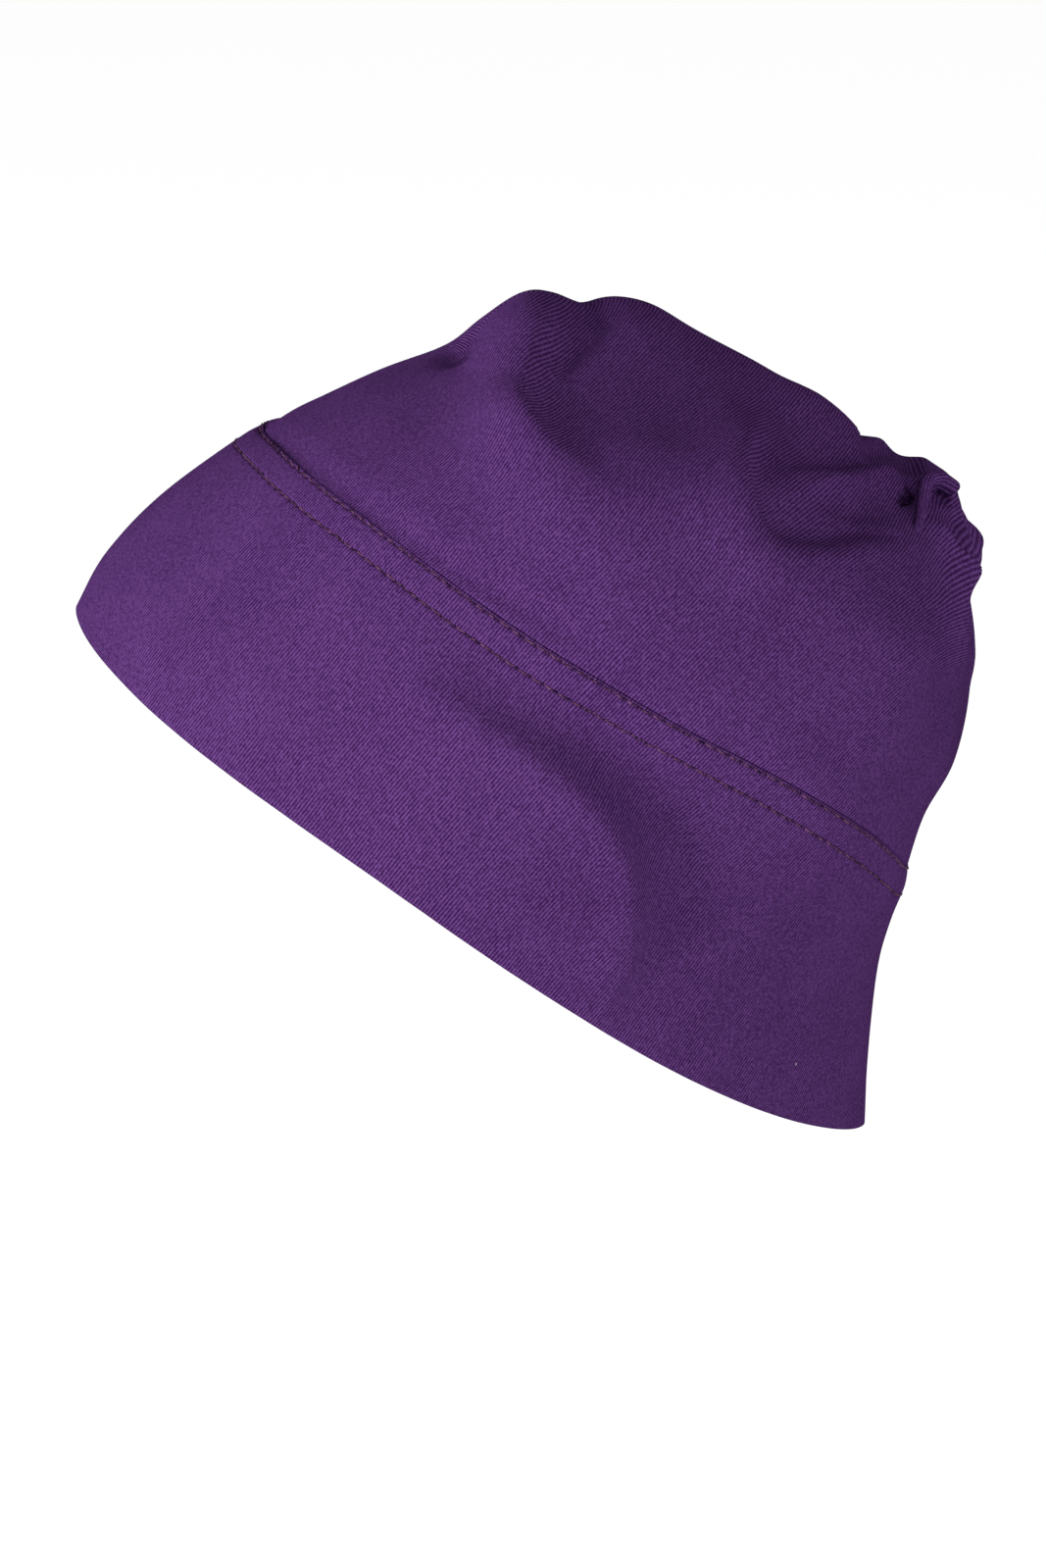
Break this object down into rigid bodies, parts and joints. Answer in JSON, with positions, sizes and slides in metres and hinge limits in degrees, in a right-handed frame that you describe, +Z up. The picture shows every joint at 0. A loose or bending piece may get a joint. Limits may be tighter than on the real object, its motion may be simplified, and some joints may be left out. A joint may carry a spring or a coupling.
{
  "type": "underscarf cap",
  "caption": "Close-fitting jersey cap worn under a headscarf, with a folded band round the head and a slack crown gathered at the back.",
  "frame": {"origin": "middle of the opening that the head goes into", "axes": "+Z up with the wearer's head upright, -Y the way the wearer faces, +X the wearer's left"},
  "size_m": [0.1672, 0.1974, 0.1844],
  "materials": {
    "band": "purple cotton jersey, matt, fine knit ribs, two layers folded at the rim",
    "crown": "purple cotton jersey, matt, fine knit ribs, one layer"
  },
  "bodies": {
    "root": {"band": "band", "crown": "crown"}
  },
  "joints": []
}
